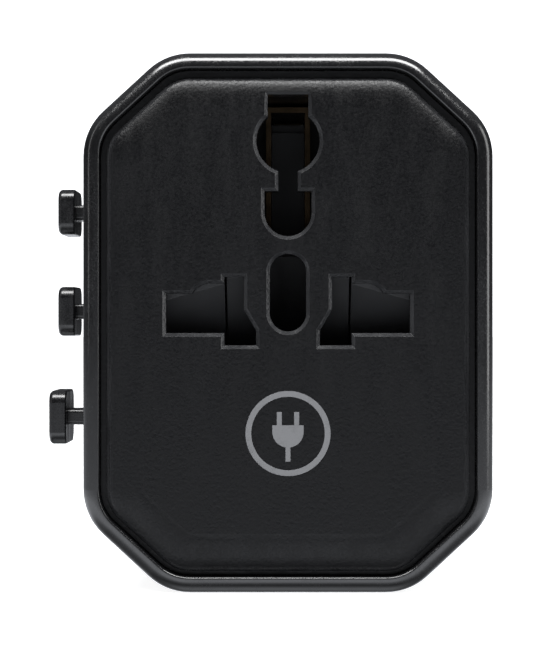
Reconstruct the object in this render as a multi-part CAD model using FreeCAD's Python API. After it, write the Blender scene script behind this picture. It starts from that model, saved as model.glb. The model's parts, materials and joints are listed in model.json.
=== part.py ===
"""Universal travel adapter: socket face at the front (-Y), plug pins sliding out at the back (+Y), +Z up.

Millimetres. The origin is the middle of the flat base face, so Z = 0 is the surface it stands on.
Every function below returns the solids of one named sub-part; the last section writes them to parts/.
"""

import FreeCAD
import Part

import math
import os

V = FreeCAD.Vector

# ---------------------------------------------------------------- driving dimensions
BODY_W = 49.9            # overall width of the case
BODY_H = 65.7            # overall height of the case
DATUM_Z = 0.35           # all heights below are counted from a datum this far above the base face
FRONT_Y = -27.5          # plane of the bezel rim
REAR_Y = 27.5            # plane of the rear face
CORNER_X, CORNER_Z = 10.1, 9.3   # legs of the clipped corners
CORNER_R = 7.5           # rounding where a clipped corner meets a side
WALL = 2.0               # wall of both shells
SEAM_Y = -19.5           # where bezel and rear shell meet
RIM_ROUND = 1.75         # outer rounding of the bezel rim
RIM_INNER_ROUND = 0.22
REAR_ROUND = 1.8         # outer rounding of the rear face
SEAM_CHAMFER = 0.22      # fine groove where the two shells meet
TONGUE = 1.2             # how far the bezel's tongue reaches into the rear shell
FIT = 0.1                # assembly clearance between fixed plastic parts
SLIDE = 0.3              # clearance around what slides

# socket face
PLATE_BACK = FRONT_Y + 2.7
PLATE_FLAT = FRONT_Y + 0.05
RIM_INSET = 2.05         # inner edge of the rim, measured in from the case outline
PAD_INSET = 2.9          # raised pad of the plate, which leaves a groove inside the rim
PAD_DROP = 0.2           # the pad sits this much low, so its groove is wider above than below
GROOVE_DEPTH = 1.6
LEDGE_INSET = 3.6        # opening behind the ledge that carries the plate
HOLE_CHAMFER = 0.42
LINE_Z = 33.64           # height of the British line and neutral slots
UK_PITCH = 22.2          # line to neutral, and line row to earth
EARTH_Z = LINE_Z + UK_PITCH
ROUND_EARTH_Z, ROUND_EARTH_R = 54.55, 3.84
US_EARTH_Z, US_EARTH_R = 45.85, 2.85
OVAL_Z, OVAL_HALF_H, OVAL_R = 36.15, 4.7, 2.2
EURO_SLOT_X, EURO_SLOT_Z, EURO_SLOT_R = 9.5, 34.84, 2.45

# shutters behind the line and neutral slots
SHUTTER_IN, SHUTTER_OUT = 3.6, 15.6      # distance from the middle
SHUTTER_BOTTOM, SHUTTER_TOP = 29.1, 39.3
SHUTTER_FRONT, SHUTTER_BACK = PLATE_BACK + FIT, -16.5
SHUTTER_TRAVEL = 9.0
SPRING_TOP = 52.0

# contact carrier
CARRIER_BACK = -4.2
CARRIER_HALF_W = 16.5
CARRIER_BOTTOM, CARRIER_SHOULDER, CARRIER_TOP = 28.2, 53.2, 61.4

# plug sets, all drawn retracted
UK_TRAVEL, US_TRAVEL, EU_TRAVEL = 22.8, 18.0, 27.0
CARRIAGE_DEPTH = 5.0
CARRIAGE_END = 24.8      # rear side of a carriage when its pins are out
UK_ROW_Z, UK_EARTH_PIN_Z = 31.8, 54.0
US_X, US_Z = 6.6, 41.5
HUB_R, HUB_HOLE_R = 4.6, 4.8
EU_X, EU_Z = 9.5, 20.4
EU_BLOCK_W, EU_BLOCK_H, EU_BLOCK_LEN = 27.0, 13.2, 15.0
EU_PIN_LEN, EU_PIN_R, EU_SLEEVE_LEN = 19.0, 2.0, 10.0

# slider knobs on the left side: height of the centre, height of the cap, rest position of the centre
KNOBS = {
    "uk": {"z": 47.1, "cap_h": 6.0, "y": -3.7, "travel": UK_TRAVEL},
    "us": {"z": 34.0, "cap_h": 6.5, "y": -3.7, "travel": US_TRAVEL},
    "eu": {"z": 20.5, "cap_h": 6.8, "y": -13.1, "travel": EU_TRAVEL},
}
CAP_LEN, CAP_T = 9.0, 2.2
CAP_OUT = -30.25         # outer face of a cap
STEM_LEN, STEM_T = 5.0, 2.0
ARM_X = -BODY_W / 2 + WALL + SLIDE       # outer side of the arms that carry the stems
TENON_LEN, TENON_T, TENON_IN = 3.0, 1.2, 2.4

# fuse
FUSE_Z, FUSE_R, FUSE_LEN = 8.0, 2.5, 20.0
FUSE_TUBE_R, FUSE_BORE_R = 4.3, 3.2
FUSE_CAP_R, FUSE_CAP_T = 3.7, 1.5
FUSE_NECK_LEN = 3.3

# screws
SCREW_AT = [(sx * 16.4, z) for sx in (-1, 1) for z in (8.5, 56.5)]
BOSS_R, ACCESS_R, POST_R = 3.1, 2.2, 2.6
SEAT_Y, POST_END_Y = -9.0, -12.0
SCREW_R, SCREW_HEAD_R, SCREW_LEN = 1.1, 1.9, 9.5

BRASS_T = 0.7


# ---------------------------------------------------------------- small tools
def box(x0, x1, y0, y1, z0, z1):
    return Part.makeBox(x1 - x0, y1 - y0, z1 - z0, V(x0, y0, z0))


def rod(x, z, r, y0, y1):
    """Cylinder along Y."""
    return Part.makeCylinder(r, y1 - y0, V(x, y0, z), V(0, 1, 0))


def fuse_all(shapes):
    whole = shapes[0].multiFuse(shapes[1:]) if len(shapes) > 1 else shapes[0]
    return whole.removeSplitter()


def cut_all(shape, tools):
    return shape.cut(Part.makeCompound(tools)) if tools else shape


def mirrored(shape):
    """The same shape on the other side of the YZ plane."""
    return shape.mirror(V(0, 0, 0), V(1, 0, 0))


def rounded_wire(points, radius, y):
    """Closed wire in the plane Y = y through points (x, z), each corner turned into a tangent arc."""
    corners = [V(x, y, z) for x, z in points]
    edges, starts, ends = [], [], []
    for i, p in enumerate(corners):
        to_last = (corners[i - 1] - p).normalize()
        to_next = (corners[(i + 1) % len(corners)] - p).normalize()
        half = to_last.getAngle(to_next) / 2
        reach = radius / math.tan(half)
        middle = p + (to_last + to_next).normalize() * (radius / math.sin(half) - radius)
        starts.append(p + to_last * reach)
        ends.append(p + to_next * reach)
        edges.append(Part.Arc(starts[i], middle, ends[i]).toShape())
    for i, start in enumerate(ends):
        stop = starts[(i + 1) % len(corners)]
        if (stop - start).Length > 1e-6:
            edges.append(Part.LineSegment(start, stop).toShape())
    return Part.Wire(Part.__sortEdges__(edges))


def case_points(inset):
    """Corners of the case outline moved in by inset, as (x, z)."""
    slant = math.hypot(CORNER_X, CORNER_Z)
    nx, nz = CORNER_Z / slant, CORNER_X / slant
    reach = nx * BODY_W / 2 + nz * (BODY_H / 2 - CORNER_Z) - inset
    side, top = BODY_W / 2 - inset, BODY_H / 2 - inset
    corner_z = (reach - nx * side) / nz
    corner_x = (reach - nz * top) / nx
    quarter = [(side, -corner_z), (side, corner_z), (corner_x, top), (-corner_x, top)]
    points = quarter + [(-x, -z) for x, z in quarter]
    return [(x, z + BODY_H / 2 - DATUM_Z) for x, z in points]


def case_wire(inset, y, radius=None):
    return rounded_wire(case_points(inset), radius or max(CORNER_R - inset, 1.5), y)


def case_prism(inset, y0, y1, radius=None):
    return Part.Face(case_wire(inset, y0, radius)).extrude(V(0, y1 - y0, 0))


def flat_face(points):
    """Straight-sided face at Y = 0 through points (x, z)."""
    corners = [V(x, 0, z) for x, z in points]
    return Part.Face(Part.makePolygon(corners + corners[:1]))


def disc(x, z, r):
    return Part.Face(Part.Wire(Part.makeCircle(r, V(x, 0, z), V(0, 1, 0))))


def rect(x0, x1, z0, z1):
    return flat_face([(x0, z0), (x1, z0), (x1, z1), (x0, z1)])


def edges_where(shape, test):
    return [e for e in shape.Edges if test(e)]


def on_plane_y(edge, y):
    return all(abs(v.Y - y) < 1e-4 for v in edge.Vertexes) and abs(edge.CenterOfMass.y - y) < 1e-4


# ---------------------------------------------------------------- shells
def front_bezel():
    """Rim, plate ledge and skirt of the front, with four screw posts and a tongue for the seam."""
    body = case_prism(0, FRONT_Y, SEAM_Y)
    body = body.makeFillet(RIM_ROUND, edges_where(body, lambda e: on_plane_y(e, FRONT_Y)))
    tongue = case_prism(WALL / 2 + FIT, SEAM_Y - 1, SEAM_Y + TONGUE)
    body = body.fuse(tongue)
    body = cut_all(body, [
        case_prism(RIM_INSET, FRONT_Y - 1, PLATE_BACK),
        case_prism(LEDGE_INSET, PLATE_BACK - 1, PLATE_BACK + 2),
        case_prism(WALL, PLATE_BACK + 1.3, SEAM_Y + TONGUE + 1),
    ])
    inner = edges_where(body, lambda e: on_plane_y(e, FRONT_Y) and on_outline(e.CenterOfMass, RIM_INSET))
    seam = edges_where(body, lambda e: on_plane_y(e, SEAM_Y) and on_outline(e.CenterOfMass, 0))
    body = body.makeFillet(RIM_INNER_ROUND, inner).makeChamfer(SEAM_CHAMFER, seam)
    for x, z in SCREW_AT:
        post = rod(x, z, POST_R, PLATE_BACK, POST_END_Y).common(case_prism(0.5, FRONT_Y, 0))
        body = body.fuse(post).cut(rod(x, z, SCREW_R - 0.1, SEAT_Y - SCREW_LEN - 1, POST_END_Y + 1))
    return body.removeSplitter()


def on_outline(c, inset):
    """True if a point lies on the case outline moved in by inset (arc midpoints lie just inside it)."""
    return case_wire(inset, c.y).distToShape(Part.Vertex(c))[0] < 0.45


def plate_holes():
    """Convex pieces that together make the socket holes: earth group, middle oval, line slots."""
    straight = OVAL_HALF_H - OVAL_R
    middle = [
        rect(-2.46, 2.46, ROUND_EARTH_Z, EARTH_Z + 4.34),
        disc(0, ROUND_EARTH_Z, ROUND_EARTH_R),
        rect(-1.18, 1.18, US_EARTH_Z, ROUND_EARTH_Z),
        rect(-US_EARTH_R, US_EARTH_R, US_EARTH_Z, US_EARTH_Z + 2.6),
        disc(0, US_EARTH_Z, US_EARTH_R),
        rect(-OVAL_R, OVAL_R, OVAL_Z - straight, OVAL_Z + straight),
        disc(0, OVAL_Z - straight, OVAL_R),
        disc(0, OVAL_Z + straight, OVAL_R),
    ]
    flare = [(3.87, 29.76), (7.72, 29.76), (7.72, 34.09), (5.34, 34.09), (3.87, 31.54)]
    right = [
        rect(5.34, 14.8, LINE_Z - 2.39, LINE_Z + 2.39),
        disc(EURO_SLOT_X, EURO_SLOT_Z, EURO_SLOT_R),
        rect(6.5, EURO_SLOT_X, LINE_Z, EURO_SLOT_Z + EURO_SLOT_R),
        rect(5.34, 7.72, 29.76, 38.06),
        flat_face(flare),
    ]
    left = [
        rect(-14.8, -5.34, LINE_Z - 2.39, LINE_Z + 2.39),
        disc(-EURO_SLOT_X, EURO_SLOT_Z, EURO_SLOT_R),
        rect(-EURO_SLOT_X, -6.5, LINE_Z, EURO_SLOT_Z + EURO_SLOT_R),
        rect(-7.72, -5.34, 29.76, 38.06),
        flat_face([(-x, z) for x, z in reversed(flare)]),
    ]
    return middle + left + right


def hole_cutter(face):
    """Straight hole through the plate with a 45 degree mouth at its front."""
    over = 0.2
    deep = face.OuterWire.copy().translate(V(0, PLATE_FLAT + HOLE_CHAMFER, 0))
    wide = face.makeOffset2D(HOLE_CHAMFER + over, 2).OuterWire.translate(V(0, PLATE_FLAT - over, 0))
    mouth = Part.makeLoft([deep, wide], True, True)
    return face.extrude(V(0, 8, 0)).translate(V(0, PLATE_FLAT, 0)).fuse(mouth)


def socket_faceplate():
    """Inset plate: bevelled edge, softly domed shoulder, and the chamfered socket holes."""
    shoulder = [
        (PAD_INSET, 1.0), (3.2, 0.68), (3.8, 0.38), (4.8, 0.13),
        (5.4, 0.068), (6.0, 0.03), (6.8, 0.007), (7.5, 0.0),
    ]
    flange = case_prism(RIM_INSET + FIT, PLATE_FLAT + GROOVE_DEPTH, PLATE_BACK)
    pad = case_prism(PAD_INSET, PLATE_FLAT + shoulder[0][1], PLATE_FLAT + GROOVE_DEPTH)
    dome = Part.makeLoft([case_wire(inset, PLATE_FLAT + drop) for inset, drop in shoulder], True, False)
    pad = pad.fuse(dome).translate(V(0, 0, -PAD_DROP))
    plate = flange.fuse(pad)
    for face in plate_holes():
        plate = plate.cut(hole_cutter(face))
    return plate.removeSplitter()


def rear_shell():
    """Deep cup with the rear face: slider slots, pin openings, screw tubes and fuse tube."""
    body = case_prism(0, SEAM_Y, REAR_Y)
    body = body.makeFillet(REAR_ROUND, edges_where(body, lambda e: on_plane_y(e, REAR_Y)))
    body = body.makeChamfer(SEAM_CHAMFER, edges_where(body, lambda e: on_plane_y(e, SEAM_Y)))
    body = cut_all(body, [
        case_prism(WALL, SEAM_Y - 1, REAR_Y - WALL),
        case_prism(WALL / 2, SEAM_Y - 1, SEAM_Y + TONGUE + FIT),
    ])
    inside = case_prism(WALL / 2, SEAM_Y, REAR_Y - WALL / 2)
    tubes = [rod(x, z, BOSS_R, POST_END_Y + FIT, REAR_Y - 0.5).common(inside) for x, z in SCREW_AT]
    tubes.append(rod(0, FUSE_Z, FUSE_TUBE_R, fuse_floor() - 1.2, REAR_Y - 0.5))
    body = body.fuse(tubes)
    holes = [rod(x, z, ACCESS_R, SEAT_Y, REAR_Y + 1) for x, z in SCREW_AT]
    holes += [rod(x, z, SCREW_R + FIT, POST_END_Y - 1, SEAT_Y + 1) for x, z in SCREW_AT]
    holes.append(rod(0, FUSE_Z, FUSE_BORE_R, fuse_floor(), REAR_Y + 1))
    holes.append(rod(0, FUSE_Z, FUSE_CAP_R + FIT, REAR_Y - FUSE_CAP_T - FIT, REAR_Y + 1))
    holes += pin_openings()
    holes += [slider_slot(**knob) for knob in KNOBS.values()]
    body = cut_all(body, holes)
    rims = edges_where(body, lambda e: on_plane_y(e, REAR_Y) and not near_screw_or_fuse(e.CenterOfMass))
    return body.makeChamfer(0.35, rims).removeSplitter()


def near_screw_or_fuse(c):
    """The rear outline itself is left alone too: it already has its large rounding."""
    return c.z < 6 or c.z > 60.5 or abs(c.x) > BODY_W / 2 - 4


def fuse_floor():
    return REAR_Y - FUSE_CAP_T - FIT - FUSE_NECK_LEN - FUSE_LEN - 0.9


def pin_openings():
    """Openings in the rear face for the three plug sets."""
    y0, y1 = REAR_Y - WALL - 1, REAR_Y + 1
    return [
        box(-2.3, 2.3, y0, y1, UK_EARTH_PIN_Z - 4.3, UK_EARTH_PIN_Z + 4.3),
        uk_line_slot(y0, y1),
        mirrored(uk_line_slot(y0, y1)),
        rod(US_X, US_Z, HUB_HOLE_R, y0, y1),
        rod(-US_X, US_Z, HUB_HOLE_R, y0, y1),
        eu_section(SLIDE, y0, y1),
    ]


def uk_line_slot(y0, y1):
    half = UK_PITCH / 2
    return box(half - 3.48, half + 3.48, y0, y1, UK_ROW_Z - 2.3, UK_ROW_Z + 2.3)


def eu_section(grow, y0, y1):
    """Flattened hexagon of the two-pin Euro plug, from y0 to y1."""
    w, h, clip = EU_BLOCK_W / 2 + grow, EU_BLOCK_H / 2 + grow, 4.2
    points = [(-w, 0), (-w + clip, -h), (w - clip, -h), (w, 0), (w - clip, h), (-w + clip, h)]
    wire = rounded_wire([(x, z + EU_Z) for x, z in points], 2.0, y0)
    return Part.Face(wire).extrude(V(0, y1 - y0, 0))


def slider_slot(z, cap_h, y, travel):
    """Slot through the left wall for one slider's stem, with round ends."""
    half = STEM_T / 2 + 0.2
    y0, y1 = y - STEM_LEN / 2 - 0.3, y + STEM_LEN / 2 + travel + 0.3
    x0, x1 = -BODY_W / 2 - 1, -BODY_W / 2 + WALL + 1
    slot = box(x0, x1, y0, y1, z - half, z + half)
    return slot.makeFillet(0.8, [e for e in slot.Edges if abs(e.tangentAt(e.FirstParameter).x) > 0.99])


# ---------------------------------------------------------------- socket side
def contact_carrier():
    """Insulating block behind the plate, with chambers for the shutters and the three contacts."""
    block = fuse_all([
        box(-CARRIER_HALF_W, CARRIER_HALF_W, PLATE_BACK, CARRIER_BACK, CARRIER_BOTTOM, CARRIER_SHOULDER),
        box(-6.0, 6.0, PLATE_BACK, CARRIER_BACK, CARRIER_SHOULDER, CARRIER_TOP),
    ])
    y0 = PLATE_BACK - 1
    side = [
        box(SHUTTER_IN - 0.15, SHUTTER_OUT + 0.15, y0, SHUTTER_BACK + 0.2, SHUTTER_BOTTOM - 0.1, SPRING_TOP),
        box(4.2, SHUTTER_OUT, SHUTTER_BACK - 1, CARRIER_BACK - 0.8, 29.2, 39.2),
        box(10.8, 13.2, CARRIER_BACK - 1, CARRIER_BACK + 1, 32.8, 34.6),
    ]
    middle = [
        box(-2.7, 2.7, y0, CARRIER_BACK - 0.8, 31.0, 41.3),
        box(-4.4, 4.4, y0, CARRIER_BACK - 0.8, 42.6, SPRING_TOP - 5),
        box(-4.4, 4.4, y0, CARRIER_BACK - 0.8, SPRING_TOP - 5, CARRIER_TOP - 0.8),
        box(-2.2, 2.2, CARRIER_BACK - 1, CARRIER_BACK + 1, 57.8, CARRIER_TOP - 0.8),
    ]
    # the shutter chambers stop short of the earth chamber, so a wall is left between them
    walls = [box(sx * 4.9 - 0.5, sx * 4.9 + 0.5, PLATE_BACK, SHUTTER_BACK, 50.2, SPRING_TOP) for sx in (-1, 1)]
    return cut_all(block, side + [mirrored(s) for s in side] + middle).fuse(walls).removeSplitter()


def shutter():
    """Right shutter: two ramps side by side on one back web. A pin pressing on a ramp lifts it."""
    body = box(SHUTTER_IN, SHUTTER_OUT, SHUTTER_FRONT, SHUTTER_BACK, SHUTTER_BOTTOM, SHUTTER_TOP)
    depth = SHUTTER_BACK - SHUTTER_FRONT - 0.9
    outer = ramp_tool(7.75, SHUTTER_OUT + 1, 37.3, -0.28, depth)
    inner = ramp_tool(SHUTTER_IN - 1, 7.5, 37.9, -0.1, depth)
    groove = box(7.5, 7.75, SHUTTER_FRONT - 1, SHUTTER_BACK - 1.0, SHUTTER_BOTTOM - 1, 38.4)
    seat = Part.makeCylinder(1.5, 1.2, V(11.0, spring_y(), SHUTTER_TOP - 1.2), V(0, 0, 1))
    return body.cut(Part.makeCompound([outer, inner, groove, seat]))


def ramp_tool(x0, x1, top_z, tilt, depth):
    """Wedge that cuts a ramp: its upper edge starts at top_z beside x = 7.7 and falls by tilt per mm outwards."""
    def section(x):
        top = top_z + tilt * (x - 7.7)
        low = SHUTTER_BOTTOM - 1
        deep = SHUTTER_FRONT + depth * min(1.0, (top - low) / 8.2)
        corners = [V(x, SHUTTER_FRONT - 1, top), V(x, SHUTTER_FRONT, top), V(x, deep, low),
                   V(x, SHUTTER_FRONT - 1, low)]
        return Part.makePolygon(corners + corners[:1])
    return Part.makeLoft([section(x0), section(x1)], True, True)


def spring_y():
    return (SHUTTER_FRONT + SHUTTER_BACK) / 2 + 1.2


def shutter_spring(x):
    """Compression spring between a shutter and the roof of its chamber."""
    z0, z1 = SHUTTER_TOP - 1.15, SPRING_TOP - 0.05
    wire_r, coil_r, turns = 0.18, 1.15, 9
    helix = Part.makeHelix((z1 - z0 - 2 * wire_r) / turns, z1 - z0 - 2 * wire_r, coil_r)
    start = V(coil_r, 0, 0)
    ring = Part.Wire(Part.makeCircle(wire_r, start, V(0, 1, 0)))
    coil = Part.Wire(helix).makePipeShell([ring], True, True)
    return coil.translate(V(x, spring_y(), z0 + wire_r))


def line_busbar():
    """Right contact: jaws for a round or flat pin, tail through the carrier, and two sliding rails."""
    t = BRASS_T
    parts = line_jaws()
    plate_y0, plate_y1 = CARRIER_BACK + 0.1, CARRIER_BACK + 0.1 + t
    parts += [
        box(11.0, 13.0, -7.5, plate_y1, 33.0, 34.4),
        box(11.0, 18.4, plate_y0, plate_y1, 31.0, 47.6),
        box(18.4 - t, 18.4, plate_y0, 24.0, 24.0, 34.0),
        box(5.0, 11.5, plate_y0, 24.0, 47.6 - t, 47.6),
    ]
    return fuse_all(parts)


def neutral_busbar():
    """Left contact, a mirror image at the socket, with its own rail beside the left arms."""
    t = BRASS_T
    parts = [mirrored(p) for p in line_jaws()]
    plate_y0, plate_y1 = CARRIER_BACK + 0.1, CARRIER_BACK + 0.1 + t
    parts += [
        box(-13.0, -11.0, -7.5, plate_y1, 33.0, 34.4),
        box(-17.4, -11.0, plate_y0, plate_y1, 31.0, 35.0),
        box(-17.4, -17.4 + t, plate_y0, 24.0, 29.0, 35.0),
    ]
    return fuse_all(parts)


def line_jaws():
    """Upper and lower leaf for round and flat pins, a side leaf for thin blades, and the back web."""
    t, gap, front, back = BRASS_T, 2.2, -15.6, -8.0
    return [
        box(8.2, 15.3, front, back + t, LINE_Z + gap, LINE_Z + gap + t),
        box(8.2, 15.3, front, back + t, LINE_Z - gap - t, LINE_Z - gap),
        box(4.6, 15.3, back, back + t, LINE_Z - gap - t, LINE_Z + gap + t),
        box(4.6, 4.6 + t, front, back + t, LINE_Z - gap - t, LINE_Z + gap + t),
    ]


def earth_busbar():
    """Earth contact: two long leaves behind the earth holes, joined by a rail above the earth pin."""
    t, gap, front, back = BRASS_T, 2.15, -13.5, -7.3
    rail_z = 60.2 - t
    return fuse_all([
        box(gap, gap + t, front, back, 44.2, rail_z + t),
        box(-gap - t, -gap, front, back, 44.2, rail_z + t),
        box(-gap - t, gap + t, front, back, rail_z, rail_z + t),
        box(-2.0, 2.0, back - 0.7, 24.0, rail_z, rail_z + t),
    ])


# ---------------------------------------------------------------- plug sets
def knob(z, cap_h, y, travel):
    """Slider: a rounded cap outside the case on a flat stem that ends in a tenon in its carriage."""
    cap = box(CAP_OUT, CAP_OUT + CAP_T, y - CAP_LEN / 2, y + CAP_LEN / 2, z - cap_h / 2, z + cap_h / 2)
    cap = cap.makeFillet(1.5, [e for e in cap.Edges if abs(e.tangentAt(e.FirstParameter).x) > 0.99])
    cap = cap.makeFillet(0.62, edges_where(cap, lambda e: on_plane_x(e, CAP_OUT)))
    cap = cap.makeFillet(0.22, edges_where(cap, lambda e: on_plane_x(e, CAP_OUT + CAP_T)))
    for i in (-1, 0, 1):
        cap = cap.cut(grip_groove(y + i * 1.7, z, cap_h))
    half = STEM_T / 2
    stem = box(CAP_OUT + CAP_T - 0.1, ARM_X, y - STEM_LEN / 2, y + STEM_LEN / 2, z - half, z + half)
    stem = stem.makeFillet(0.45, [e for e in stem.Edges if abs(e.tangentAt(e.FirstParameter).x) > 0.99])
    return cap.fuse([stem, tenon(z, y)]).removeSplitter()


def on_plane_x(edge, x):
    return all(abs(v.X - x) < 1e-4 for v in edge.Vertexes) and abs(edge.CenterOfMass.x - x) < 1e-4


def grip_groove(y, z, cap_h):
    """Shallow round groove across the outer face of a cap."""
    length = cap_h - 2.6
    cutter = Part.makeCylinder(0.45, length, V(CAP_OUT - 0.2, y, z - length / 2), V(0, 0, 1))
    ends = [Part.makeSphere(0.45, V(CAP_OUT - 0.2, y, z + s * length / 2)) for s in (-1, 1)]
    return fuse_all([cutter] + ends)


def tenon(z, y):
    half = TENON_T / 2
    return box(ARM_X - 0.1, ARM_X + TENON_IN, y - TENON_LEN / 2, y + TENON_LEN / 2, z - half, z + half)


def arm(name, x1, y1, z0, z1):
    """Left arm of a carriage, reaching forward to its slider's stem, with the mortise for the tenon."""
    place = KNOBS[name]
    block = box(ARM_X, x1, place["y"] - STEM_LEN / 2 - 0.2, y1, z0, z1)
    return block.cut(tenon(place["z"], place["y"]))


def carriage_y(travel):
    """Front and rear side of a carriage at rest."""
    return CARRIAGE_END - travel - CARRIAGE_DEPTH, CARRIAGE_END - travel


def uk_carriage():
    """C-shaped carriage: earth bar at the top, leg down the right, line and neutral bar below."""
    y0, y1 = carriage_y(UK_TRAVEL)
    body = fuse_all([
        box(-8.0, 8.0, y0, y1, 48.0, 59.0),
        box(-17.5, 17.0, y0, y1, 48.0, 51.5),
        box(12.2, 17.0, y0, y1, 28.4, 51.5),
        box(-15.6, 17.0, y0, y1, 28.4, 35.1),
    ])
    body = body.fuse(arm("uk", -17.2, y1, 45.6, 51.5)).cut(tenon(KNOBS["uk"]["z"], KNOBS["uk"]["y"]))
    return body.cut(Part.makeCompound(uk_pin_seats())).removeSplitter()


def uk_pin_seats():
    y0, y1 = carriage_y(UK_TRAVEL)
    seats = [box(-2, 2, y1 - 3.5, y1 + 1, UK_EARTH_PIN_Z - 4, UK_EARTH_PIN_Z + 4)]
    half = UK_PITCH / 2
    for sx in (-1, 1):
        seats.append(box(sx * half - 3.175, sx * half + 3.175, y1 - 3.5, y1 + 1, UK_ROW_Z - 2, UK_ROW_Z + 2))
    return seats


def flat_pin(x, z, w, h, y0, y1, tip):
    """Rectangular plug pin along Y with a bevelled tip."""
    pin = box(x - w / 2, x + w / 2, y0, y1, z - h / 2, z + h / 2)
    return pin.makeChamfer(tip, edges_where(pin, lambda e: on_plane_y(e, y1)))


def uk_earth_pin():
    y0, y1 = carriage_y(UK_TRAVEL)
    return flat_pin(0, UK_EARTH_PIN_Z, 4, 8, y1 - 3.5, REAR_Y - 0.1, 1.2)


def uk_tip_y():
    """Tip of the line and neutral pins at rest: they stand 17.7 mm out when slid home."""
    return REAR_Y + 17.7 - UK_TRAVEL


def uk_line_pins():
    """The two brass pins. Each is waisted where its insulating sleeve sits flush."""
    y0, y1 = carriage_y(UK_TRAVEL)
    pins = []
    for sx in (-1, 1):
        pin = flat_pin(sx * UK_PITCH / 2, UK_ROW_Z, 6.35, 4, y1 - 3.5, uk_tip_y(), 1.0)
        pins.append(pin.cut(uk_sleeve(sx)))
    return Part.makeCompound(pins)


def uk_sleeve(sx):
    """Insulating sleeve over the root of a pin: the outside is flush with the bare metal."""
    y0, y1 = carriage_y(UK_TRAVEL)
    x, end = sx * UK_PITCH / 2, uk_tip_y() - 8.2
    outer = box(x - 3.175, x + 3.175, y1, end, UK_ROW_Z - 2, UK_ROW_Z + 2)
    core = box(x - 2.675, x + 2.675, y1 - 1, end + 1, UK_ROW_Z - 1.5, UK_ROW_Z + 1.5)
    return outer.cut(core)


def uk_wipers():
    """Three brass springs that carry current from the pins to the rails."""
    y0, y1 = carriage_y(UK_TRAVEL)
    ya, yb = y1 - 2.8, y1 - 0.2
    line = box(17.0, 18.4 - BRASS_T - 0.05, ya, yb, UK_ROW_Z - 2.5, UK_ROW_Z + 2.0)
    neutral = box(-17.4 + BRASS_T + 0.05, -15.6, ya, yb, UK_ROW_Z - 2.5, UK_ROW_Z + 2.5)
    earth = box(-1.8, 1.8, ya, yb, 59.0, 60.2 - BRASS_T - 0.05)
    return Part.makeCompound([line, neutral, earth])


def us_carriage():
    """Carriage of the American set, with two bores in which the blade hubs turn."""
    y0, y1 = carriage_y(US_TRAVEL)
    body = fuse_all([
        box(-11.7, 11.7, y0, y1, 36.4, 46.6),
        box(-18.2, -11.0, y0, y1, 36.4, 42.0),
        arm("us", -18.2, y1, 32.4, 42.0),
    ]).cut(tenon(KNOBS["us"]["z"], KNOBS["us"]["y"]))
    for sx in (-1, 1):
        body = body.cut(hub_bore(sx))
    return body.removeSplitter()


def hub_bore(sx):
    """Stepped bore: the hub's flange turns in the wide part and can't pull out backwards."""
    y0, y1 = carriage_y(US_TRAVEL)
    return rod(sx * US_X, US_Z, HUB_R - 0.5, y0 + 2.5, y1 + 1).fuse(
        rod(sx * US_X, US_Z, HUB_R + 0.05, y0 + 1.2, y0 + 3.2))


def blade_hub(sx):
    """Round hub that carries one flat blade: flange, neck through the bore, and the face seen outside."""
    y0, y1 = carriage_y(US_TRAVEL)
    hub = fuse_all([
        rod(sx * US_X, US_Z, HUB_R, y0 + 1.25, y0 + 3.15),
        rod(sx * US_X, US_Z, HUB_R - 0.55, y0 + 3.0, y1 + 0.3),
        rod(sx * US_X, US_Z, HUB_R, y1 + 0.1, REAR_Y - US_TRAVEL),
    ])
    return hub.cut(us_blade(sx))


def us_blade(sx):
    """Flat blade, 1.5 x 6.3 mm, standing 16.5 mm out of the rear face when slid home."""
    y0, y1 = carriage_y(US_TRAVEL)
    tip = REAR_Y + 16.5 - US_TRAVEL
    blade = box(sx * US_X - 0.75, sx * US_X + 0.75, y0 + 2.0, tip, US_Z - 3.15, US_Z + 3.15)
    corners = [e for e in blade.Edges if on_plane_y(e, tip) and abs(e.tangentAt(e.FirstParameter).z) < 0.1]
    blade = blade.makeFillet(1.1, corners)
    long_tips = edges_where(blade, lambda e: on_plane_y(e, tip))
    return blade.makeChamfer(0.3, [e for e in long_tips if abs(e.tangentAt(e.FirstParameter).z) > 0.9])


def us_wipers():
    y0, y1 = carriage_y(US_TRAVEL)
    line = box(6.0, 8.5, y0 + 1.0, y0 + 3.4, 46.6, 47.6 - BRASS_T - 0.05)
    neutral = box(-17.3, -16.8, y0 + 1.0, y0 + 3.4, 35.05, 36.4)
    return Part.makeCompound([line, neutral])


def eu_block():
    """Sliding Euro plug body, with the arm to its slider and two pin sockets."""
    y1 = REAR_Y - EU_PIN_LEN
    y0 = y1 - EU_BLOCK_LEN
    block = eu_section(0, y0, y1)
    block = block.makeFillet(0.5, edges_where(block, lambda e: on_plane_y(e, y1)))
    place = KNOBS["eu"]
    reach = box(-14.0, -10.0, y0, y0 + 4.5, EU_Z - 2, EU_Z + 2)
    body = block.fuse([arm("eu", -13.6, y0 + 4.5, EU_Z - 2, EU_Z + 2), reach])
    body = body.cut(tenon(place["z"], place["y"]))
    for sx in (-1, 1):
        body = body.cut(rod(sx * EU_X, EU_Z, EU_PIN_R, y1 - 8.0, y1 + 1))
    return body.removeSplitter()


def eu_pins():
    """Two round pins with domed tips, waisted under their sleeves."""
    y1 = REAR_Y - EU_PIN_LEN
    pins = []
    for sx in (-1, 1):
        pin = rod(sx * EU_X, EU_Z, EU_PIN_R, y1 - 8.0, REAR_Y - 0.1)
        pin = pin.makeFillet(1.6, edges_where(pin, lambda e: on_plane_y(e, REAR_Y - 0.1)))
        pins.append(pin.cut(sleeve_ring(sx, EU_PIN_R + 1)))
    return Part.makeCompound(pins)


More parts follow.
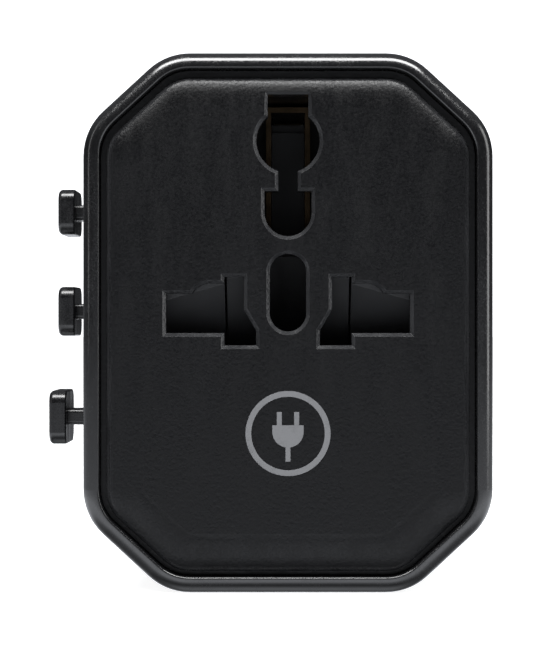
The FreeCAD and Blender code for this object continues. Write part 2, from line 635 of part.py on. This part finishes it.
def sleeve_ring(sx, outer_r):
    """Ring of the given outer radius round the waist of a pin."""
    y1 = REAR_Y - EU_PIN_LEN
    ring = rod(sx * EU_X, EU_Z, outer_r, y1, y1 + EU_SLEEVE_LEN)
    return ring.cut(rod(sx * EU_X, EU_Z, EU_PIN_R - 0.45, y1 - 1, y1 + EU_SLEEVE_LEN + 1))


def eu_sleeve(sx):
    return sleeve_ring(sx, EU_PIN_R - 0.1)


def eu_wipers():
    y0 = REAR_Y - EU_PIN_LEN - EU_BLOCK_LEN
    ya, yb = y0 + 0.5, y0 + 2.9
    top = EU_Z + EU_BLOCK_H / 2
    line = fuse_all([
        box(6.0, 16.0, ya, yb, top, top + 0.6),
        box(15.4, 18.4 - BRASS_T - 0.05, ya, yb, top, top + 0.6),
    ])
    neutral = fuse_all([
        box(-17.4, -6.0, ya, yb, top, top + 0.6),
        box(-17.4, -17.4 + BRASS_T, ya, yb, top, 28.95),
    ])
    return Part.makeCompound([line, neutral])


# ---------------------------------------------------------------- fuse, fasteners, print
def fuse_front():
    return fuse_floor() + 0.8


def fuse_body():
    """Ceramic tube of a 5 x 20 mm cartridge fuse."""
    y0 = fuse_front() + 0.3
    tube = rod(0, FUSE_Z, FUSE_R - 0.15, y0, y0 + FUSE_LEN - 0.6)
    return tube.cut(rod(0, FUSE_Z, 1.5, y0 - 1, y0 + FUSE_LEN + 1))


def fuse_ferrules():
    """Metal end caps of the fuse."""
    y0 = fuse_front()
    caps = []
    for start, wall in ((y0, y0), (y0 + FUSE_LEN - 5.0, y0 + FUSE_LEN - 0.3)):
        cup = rod(0, FUSE_Z, FUSE_R + 0.15, start, start + 5.0)
        hollow_from = start + 0.3 if wall == start else start
        cup = cup.cut(rod(0, FUSE_Z, FUSE_R - 0.15, hollow_from, hollow_from + 4.7))
        caps.append(cup)
    return Part.makeCompound(caps)


def fuse_contact():
    """Brass button at the bottom of the fuse tube."""
    return rod(0, FUSE_Z, 2.2, fuse_floor(), fuse_front())


def fuse_cap():
    """Cap that closes the fuse tube, with a coin slot."""
    y1 = REAR_Y - 0.1
    y0 = REAR_Y - FUSE_CAP_T
    head = rod(0, FUSE_Z, FUSE_CAP_R, y0, y1)
    head = head.makeFillet(0.3, edges_where(head, lambda e: on_plane_y(e, y1)))
    neck = rod(0, FUSE_Z, FUSE_BORE_R - FIT, y0 - FUSE_NECK_LEN, y0)
    slot = box(-2.6, 2.6, y1 - 0.9, y1 + 1, FUSE_Z - 0.5, FUSE_Z + 0.5)
    return head.fuse(neck).cut(slot).removeSplitter()


def case_screws():
    """Four self-tapping screws at the bottom of their access tubes."""
    screws = []
    for x, z in SCREW_AT:
        head = rod(x, z, SCREW_HEAD_R, SEAT_Y, SEAT_Y + 1.4)
        head = head.makeFillet(0.5, edges_where(head, lambda e: on_plane_y(e, SEAT_Y + 1.4)))
        cross = [box(x - 1.1, x + 1.1, SEAT_Y + 0.6, SEAT_Y + 2, z - 0.25, z + 0.25),
                 box(x - 0.25, x + 0.25, SEAT_Y + 0.6, SEAT_Y + 2, z - 1.1, z + 1.1)]
        shank = rod(x, z, SCREW_R - 0.1, SEAT_Y - SCREW_LEN, SEAT_Y)
        screws.append(head.cut(Part.makeCompound(cross)).fuse(shank).removeSplitter())
    return Part.makeCompound(screws)


def printed_emblem():
    """Generic plug pictogram in a ring, printed on the lower half of the plate."""
    z, t, r = 19.1, 0.04, 5.15
    y0, y1 = PLATE_FLAT - t, PLATE_FLAT
    ring = rod(0, z, r, y0, y1).cut(rod(0, z, r - 0.7, y0 - 1, y1 + 1))
    body = rod(0, z + 0.2, 1.9, y0, y1).common(box(-3, 3, y0, y1, z - 3, z + 0.2))
    body = body.fuse(box(-1.9, 1.9, y0, y1, z + 0.2, z + 1.0))
    prongs = [box(sx * 1.05 - 0.3, sx * 1.05 + 0.3, y0, y1, z + 1.0, z + 2.6) for sx in (-1, 1)]
    cord = box(-0.3, 0.3, y0, y1, z - 3.4, z - 1.6)
    glyph = body.fuse(prongs + [cord]).removeSplitter()
    return Part.makeCompound([ring, glyph])


# ---------------------------------------------------------------- output
def nodes():
    return {
        "front_bezel": front_bezel(),
        "socket_faceplate": socket_faceplate(),
        "printed_emblem": printed_emblem(),
        "rear_shell": rear_shell(),
        "contact_carrier": contact_carrier(),
        "line_busbar": line_busbar(),
        "neutral_busbar": neutral_busbar(),
        "earth_busbar": earth_busbar(),
        "right_shutter": shutter(),
        "left_shutter": mirrored(shutter()),
        "right_shutter_spring": shutter_spring(11.0),
        "left_shutter_spring": shutter_spring(-11.0),
        "fuse_body": fuse_body(),
        "fuse_ferrules": fuse_ferrules(),
        "fuse_contact": fuse_contact(),
        "fuse_cap": fuse_cap(),
        "case_screws": case_screws(),
        "uk_slider_knob": knob(**KNOBS["uk"]),
        "uk_carriage": uk_carriage(),
        "uk_earth_pin": uk_earth_pin(),
        "uk_line_pins": uk_line_pins(),
        "uk_pin_sleeves": Part.makeCompound([uk_sleeve(-1), uk_sleeve(1)]),
        "uk_wipers": uk_wipers(),
        "us_slider_knob": knob(**KNOBS["us"]),
        "us_carriage": us_carriage(),
        "us_wipers": us_wipers(),
        "us_left_hub": blade_hub(-1),
        "us_left_blade": us_blade(-1),
        "us_right_hub": blade_hub(1),
        "us_right_blade": us_blade(1),
        "eu_slider_knob": knob(**KNOBS["eu"]),
        "eu_block": eu_block(),
        "eu_pins": eu_pins(),
        "eu_pin_sleeves": Part.makeCompound([eu_sleeve(-1), eu_sleeve(1)]),
        "eu_wipers": eu_wipers(),
    }


os.makedirs("parts", exist_ok=True)
for name, shape in nodes().items():
    if not shape.isValid() or any(s.Volume <= 0 for s in shape.Solids):
        print("check this shape:", name)
    print(name, len(shape.Solids), round(shape.Volume, 1))
    shape.translate(V(0, 0, DATUM_Z)).exportStep(f"parts/{name}.step")
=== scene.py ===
"""Looks of the universal travel adapter: materials, softened edges, studio and camera.

Everything is in metres in the part's own frame: the adapter stands on Z = 0 with its socket face towards -Y.
"""

import json
import math

import bpy
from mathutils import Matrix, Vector


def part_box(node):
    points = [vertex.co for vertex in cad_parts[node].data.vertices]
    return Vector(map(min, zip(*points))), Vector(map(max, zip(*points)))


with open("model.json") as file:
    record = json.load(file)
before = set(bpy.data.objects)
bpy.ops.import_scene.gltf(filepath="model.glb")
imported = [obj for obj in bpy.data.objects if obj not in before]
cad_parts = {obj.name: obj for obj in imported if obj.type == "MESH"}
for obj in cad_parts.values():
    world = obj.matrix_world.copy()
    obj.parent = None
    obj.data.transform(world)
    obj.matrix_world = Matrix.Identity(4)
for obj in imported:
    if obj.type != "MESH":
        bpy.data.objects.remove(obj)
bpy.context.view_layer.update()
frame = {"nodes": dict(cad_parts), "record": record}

MM = 0.001
NODES = frame["nodes"]
BEZEL_LOW, BEZEL_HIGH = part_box("front_bezel")
BODY_CENTRE = (BEZEL_LOW + BEZEL_HIGH) / 2
DOME_R = 4.0
PALE = (0.80, 0.80, 0.80)
MATT = 0.9


# ---------------------------------------------------------------- materials
EVERY_WAY = (1, 1, 1)
ALONG_Y = (1, 0.06, 1)
ALONG_Z = (1, 1, 0.25)
EDGE_POLISH = 0.20
BEVEL_SAMPLES = 4


def new_material(name):
    """New material with its node tree and its shader."""
    material = bpy.data.materials.new(name)
    material.use_nodes = True
    tree = material.node_tree
    return material, tree, tree.nodes["Principled BSDF"]


def add(tree, kind, **values):
    """New node with its sockets or properties set by name."""
    node = tree.nodes.new(kind)
    for key, value in values.items():
        if key in node.inputs:
            node.inputs[key].default_value = value
        else:
            setattr(node, key, value)
    return node


def object_coords(tree, stretch=EVERY_WAY):
    """Object coordinates, squeezed along an axis where a finish has a direction."""
    coord = add(tree, "ShaderNodeTexCoord")
    mapping = add(tree, "ShaderNodeMapping", Scale=stretch)
    tree.links.new(coord.outputs["Object"], mapping.inputs["Vector"])
    return mapping.outputs["Vector"]


def noise(tree, vector, size, detail=3.0, rough=0.55):
    """Noise whose blotches are about `size` metres across."""
    node = add(tree, "ShaderNodeTexNoise", Scale=1 / size, Detail=detail, Roughness=rough)
    tree.links.new(vector, node.inputs["Vector"])
    return node.outputs["Fac"]


def ramp(tree, fac, stops):
    """Colour ramp from (position, grey or rgb) stops."""
    node = add(tree, "ShaderNodeValToRGB")
    elements = node.color_ramp.elements
    while len(elements) < len(stops):
        elements.new(0.5)
    for element, (position, colour) in zip(elements, stops):
        rgb = (colour,) * 3 if isinstance(colour, (int, float)) else colour
        element.position = position
        element.color = (*rgb, 1)
    tree.links.new(fac, node.inputs["Fac"])
    return node.outputs["Color"]


def spread(tree, fac, low, high, start=0.3, stop=0.7):
    """Maps a value between start and stop, by default the middle of a noise, to the range low to high."""
    node = add(tree, "ShaderNodeMapRange")
    node.inputs["From Min"].default_value = start
    node.inputs["From Max"].default_value = stop
    node.inputs["To Min"].default_value = low
    node.inputs["To Max"].default_value = high
    tree.links.new(fac, node.inputs["Value"])
    return node.outputs["Result"]


def combine(tree, operation, a, b):
    """Math node on two values. Each may be a number or a socket."""
    node = add(tree, "ShaderNodeMath", operation=operation)
    for socket, value in zip(node.inputs, (a, b)):
        if isinstance(value, (int, float)):
            socket.default_value = value
        else:
            tree.links.new(value, socket)
    return node.outputs["Value"]


def bumps(tree, shader, layers, soften):
    """Stacks bump layers (height, depth in metres) on an edge softened by `soften` metres."""
    bevel = add(tree, "ShaderNodeBevel", samples=BEVEL_SAMPLES, Radius=soften)
    normal = bevel.outputs["Normal"]
    for height, depth in layers:
        bump = add(tree, "ShaderNodeBump", Strength=1.0, Distance=depth)
        tree.links.new(height, bump.inputs["Height"])
        tree.links.new(normal, bump.inputs["Normal"])
        normal = bump.outputs["Normal"]
    tree.links.new(normal, shader.inputs["Normal"])


def tinted(tree, fac, colour, change):
    """Base colour that drifts by +-change around `colour`."""
    low = [c * (1 - change) for c in colour]
    high = [c * (1 + change) for c in colour]
    return ramp(tree, fac, [(0.3, low), (0.7, high)])


def slanted(tree, flat_axis, start, stop):
    """1 on a surface that leans away from flat_axis, such as a bevel, and 0 on one that faces along it."""
    geometry = add(tree, "ShaderNodeNewGeometry")
    split = add(tree, "ShaderNodeSeparateXYZ")
    tree.links.new(geometry.outputs["True Normal"], split.inputs["Vector"])
    facing = combine(tree, "ABSOLUTE", split.outputs[flat_axis], 0.0)
    return spread(tree, facing, 1.0, 0.0, start, stop)


def mix_colours(tree, fac, a, b):
    """Colour between a and b. Each may be an rgb tuple or a socket."""
    node = add(tree, "ShaderNodeMix", data_type="RGBA")
    colour_inputs = [socket for socket in node.inputs if socket.type == "RGBA"]
    tree.links.new(fac, node.inputs[0])
    for socket, value in zip(colour_inputs, (a, b)):
        if isinstance(value, tuple):
            socket.default_value = (*value, 1)
        else:
            tree.links.new(value, socket)
    return next(socket for socket in node.outputs if socket.type == "RGBA")


def moulded_plastic(name, colour, rough, grain, grain_depth, soften=0.12 * MM, specular=0.5, rub=0.05,
                    edge_highlight_colour=None):
    """Injection-moulded plastic: eroded tool grain, flow mottling and faint rubbing.

    Given an edge colour, bevels that lean away from Y are smoother and take that lighter colour as a painted
    highlight.
    """
    material, tree, shader = new_material(name)
    place = object_coords(tree)
    fine = noise(tree, place, grain, 2.0)
    pores = add(tree, "ShaderNodeTexVoronoi", Scale=1 / (grain * 1.7), feature="SMOOTH_F1", Smoothness=0.6)
    tree.links.new(place, pores.inputs["Vector"])
    broad = noise(tree, place, 9 * MM, 4.0)
    rubbed = noise(tree, object_coords(tree, ALONG_Z), 2.2 * MM, 5.0, 0.65)
    base = tinted(tree, broad, colour, 0.12)
    roughness = combine(tree, "ADD", spread(tree, fine, rough - 0.08, rough + 0.08),
                        spread(tree, rubbed, -rub, rub, 0.42, 0.7))
    if edge_highlight_colour:
        # painted highlight: bevels leaning away from Y get a lighter base colour in rub-noise patches; they
        # are also smoother
        edge = slanted(tree, "Y", 0.80, 0.93)
        painted_highlight_mask = combine(tree, "MULTIPLY", edge, spread(tree, rubbed, 0.65, 1.0, 0.35, 0.55))
        base = mix_colours(tree, painted_highlight_mask, base, edge_highlight_colour)
        roughness = combine(tree, "SUBTRACT", roughness, combine(tree, "MULTIPLY", edge, EDGE_POLISH))
    tree.links.new(base, shader.inputs["Base Color"])
    tree.links.new(roughness, shader.inputs["Roughness"])
    shader.inputs["Specular IOR Level"].default_value = specular
    bumps(tree, shader, [(broad, 6e-6), (fine, grain_depth), (pores.outputs["Distance"], grain_depth * 0.7)],
          soften)
    return material


def stamped_metal(name, colour, stain, rough, along, soften=0.08 * MM):
    """Sheet or drawn metal: lines along the drawing direction, cloudy oxide and a few dull spots."""
    material, tree, shader = new_material(name)
    lines = noise(tree, object_coords(tree, along), 0.10 * MM, 4.0, 0.7)
    clouds = noise(tree, object_coords(tree), 3.5 * MM, 5.0, 0.6)
    tree.links.new(ramp(tree, clouds, [(0.35, stain), (0.6, colour)]), shader.inputs["Base Color"])
    scatter = combine(tree, "ADD", spread(tree, lines, rough - 0.07, rough + 0.09),
                      spread(tree, clouds, 0.10, -0.03, 0.35, 0.65))
    tree.links.new(scatter, shader.inputs["Roughness"])
    shader.inputs["Metallic"].default_value = 1.0
    bumps(tree, shader, [(lines, 1.6e-6), (clouds, 5e-6)], soften)
    return material


def printed_ink(name, colour):
    """Pad-printed ink: follows the grain below it, slightly thin in places."""
    material, tree, shader = new_material(name)
    place = object_coords(tree)
    grain = noise(tree, place, 0.16 * MM, 2.0)
    thin = noise(tree, place, 0.9 * MM, 4.0, 0.7)
    tree.links.new(ramp(tree, thin, [(0.28, [c * 0.82 for c in colour]), (0.5, colour)]),
                   shader.inputs["Base Color"])
    tree.links.new(spread(tree, grain, 0.42, 0.56), shader.inputs["Roughness"])
    bumps(tree, shader, [(grain, 5e-6)], 0.02 * MM)
    return material


def unglazed_ceramic(name, colour):
    """Matt fired ceramic with a fine grain."""
    material, tree, shader = new_material(name)
    place = object_coords(tree)
    fine = noise(tree, place, 0.2 * MM, 4.0)
    tree.links.new(tinted(tree, noise(tree, place, 2 * MM), colour, 0.05), shader.inputs["Base Color"])
    tree.links.new(spread(tree, fine, 0.5, 0.7), shader.inputs["Roughness"])
    bumps(tree, shader, [(fine, 4e-6)], 0.05 * MM)
    return material


LOOKS = {
    "black_gloss": moulded_plastic("case_satin_black", (0.0040, 0.0040, 0.0045), 0.22, 0.22 * MM, 0.5e-6,
                                   specular=0.8),
    "black_matte": moulded_plastic("plate_grained_black", (0.0016, 0.0017, 0.0022), 0.42, 0.26 * MM, 22.0e-6,
                                   soften=0.10 * MM, specular=0.27, edge_highlight_colour=(0.026, 0.0265, 0.028)),
    "knob_black": moulded_plastic("knob_satin_black", (0.0045, 0.0045, 0.0052), 0.30, 0.18 * MM, 1.5e-6,
                                  specular=0.6, rub=0.09),
    "shutter_black": moulded_plastic("shutter_black", (0.034, 0.0345, 0.036), 0.45, 0.14 * MM, 5.0e-6),
    "insulator": moulded_plastic("insulator_grey", (0.012, 0.012, 0.014), 0.46, 0.2 * MM, 4.0e-6),
    "sleeve_black": moulded_plastic("sleeve_black", (0.006, 0.006, 0.007), 0.40, 0.2 * MM, 2.0e-6),
    "print_grey": printed_ink("emblem_grey_ink", (0.155, 0.157, 0.163)),
    # the contact metal is far darker than real brass: painted shade for contacts deep inside the socket
    # holes
    "brass": stamped_metal("contact_brass_darkened_for_shade", (0.065, 0.045, 0.026), (0.03, 0.021, 0.013), 0.42, ALONG_Y),
    "nickel": stamped_metal("nickel_plate", (0.74, 0.72, 0.67), (0.60, 0.57, 0.51), 0.22, ALONG_Y),
    "spring_steel": stamped_metal("spring_wire", (0.56, 0.56, 0.58), (0.38, 0.38, 0.40), 0.28, EVERY_WAY),
    "screw_steel": stamped_metal("zinc_screws", (0.50, 0.50, 0.52), (0.33, 0.33, 0.35), 0.34, EVERY_WAY),
    "ceramic_tube": unglazed_ceramic("fuse_ceramic", (0.78, 0.77, 0.72)),
}

for part in frame["record"]["subparts"]:
    node = NODES[part["node"]]
    node.data.materials.clear()
    node.data.materials.append(LOOKS[part["material_slot"]])


# ---------------------------------------------------------------- studio
SKY_TINT = (1.0, 1.03, 1.09, 1)
SKY_STRENGTH = 2.0
# brightness by height, from 0 straight below through 0.5 at eye level to 1 straight above
SKY_STOPS = [
    (0.0, 0.50), (0.04, 0.22), (0.10, 0.10), (0.20, 0.30), (0.28, 0.80), (0.38, 0.90),
    (0.45, 0.40), (0.50, 0.05), (0.62, 0.03), (0.80, 0.11), (1.0, 0.15),
]


def plain_material(name, colour, rough, glow):
    """Even material for the stage, which gives off a little light of its own."""
    material, tree, shader = new_material(name)
    shader.inputs["Emission Color"].default_value = (1, 1, 1, 1)
    shader.inputs["Emission Strength"].default_value = glow
    shader.inputs["Base Color"].default_value = (*colour, 1)
    shader.inputs["Roughness"].default_value = rough
    return material


def backdrop():
    """Pale floor and a pale dome round the scene, both slightly lit from within.

    The camera sees them, but the part neither reflects them nor takes light from them.
    """
    bpy.ops.mesh.primitive_circle_add(vertices=96, radius=DOME_R, fill_type="NGON")
    floor = bpy.context.object
    floor.name = "floor"
    floor.data.materials.append(plain_material("pale_floor", PALE, MATT, 0.88))
    bpy.ops.mesh.primitive_uv_sphere_add(segments=64, ring_count=32, radius=DOME_R)
    dome = bpy.context.object
    dome.name = "dome"
    dome.data.polygons.foreach_set("use_smooth", [True] * len(dome.data.polygons))
    dome.data.materials.append(plain_material("pale_dome", PALE, MATT, 1.1))
    for piece in (floor, dome):
        piece.visible_diffuse = False
        piece.visible_glossy = False
    dome.visible_shadow = False


def softbox(name, place, width, height, watts):
    """Rectangular area light that faces the middle of the case."""
    light = bpy.data.lights.new(name, "AREA")
    light.shape = "RECTANGLE"
    light.size, light.size_y = width, height
    light.energy = watts
    lamp = bpy.data.objects.new(name, light)
    lamp.location = place
    lamp.rotation_euler = (BODY_CENTRE - Vector(place)).to_track_quat("-Z", "Y").to_euler()
    bpy.context.scene.collection.objects.link(lamp)


def sky():
    """Soft light from all round: dim at eye level and above, brightest a little below eye level."""
    world = bpy.data.worlds.new("studio")
    world.use_nodes = True
    bpy.context.scene.world = world
    tree = world.node_tree
    coord = add(tree, "ShaderNodeTexCoord")
    split = add(tree, "ShaderNodeSeparateXYZ")
    tree.links.new(coord.outputs["Generated"], split.inputs["Vector"])
    height = spread(tree, split.outputs["Z"], 0.0, 1.0, -1.0, 1.0)
    shade = ramp(tree, height, SKY_STOPS)
    background = tree.nodes["Background"]
    background.inputs["Color"].default_value = SKY_TINT
    tree.links.new(combine(tree, "MULTIPLY", shade, SKY_STRENGTH), background.inputs["Strength"])


backdrop()
sky()
softbox("overhead", (0.0, -0.30, 0.60), 0.80, 0.24, 10.0)
softbox("left_strip", (-0.60, -0.20, 0.25), 0.07, 0.45, 0.20)
softbox("right_strip", (0.60, -0.12, 0.20), 0.22, 0.45, 1.0)

# ---------------------------------------------------------------- camera
IMAGE_W, IMAGE_H = 550, 650
SENSOR = 36.0
DISTANCE = 225 * MM
PX_PER_M = 8265.0
SHIFT_RIGHT, SHIFT_UP = 13.0, 2.2

camera = bpy.data.cameras.new("camera")
camera.sensor_width = SENSOR
camera.lens = PX_PER_M * DISTANCE * SENSOR / IMAGE_H
camera.shift_x = -SHIFT_RIGHT / IMAGE_H
camera.shift_y = -SHIFT_UP / IMAGE_H
camera.clip_start = 0.01
view_point = bpy.data.objects.new("camera", camera)
view_point.location = (0.0, BEZEL_LOW.y - DISTANCE, BODY_CENTRE.z)
view_point.rotation_euler = (math.pi / 2, 0, 0)
bpy.context.scene.collection.objects.link(view_point)
bpy.context.scene.camera = view_point
bpy.context.scene.view_settings.view_transform = "Standard"
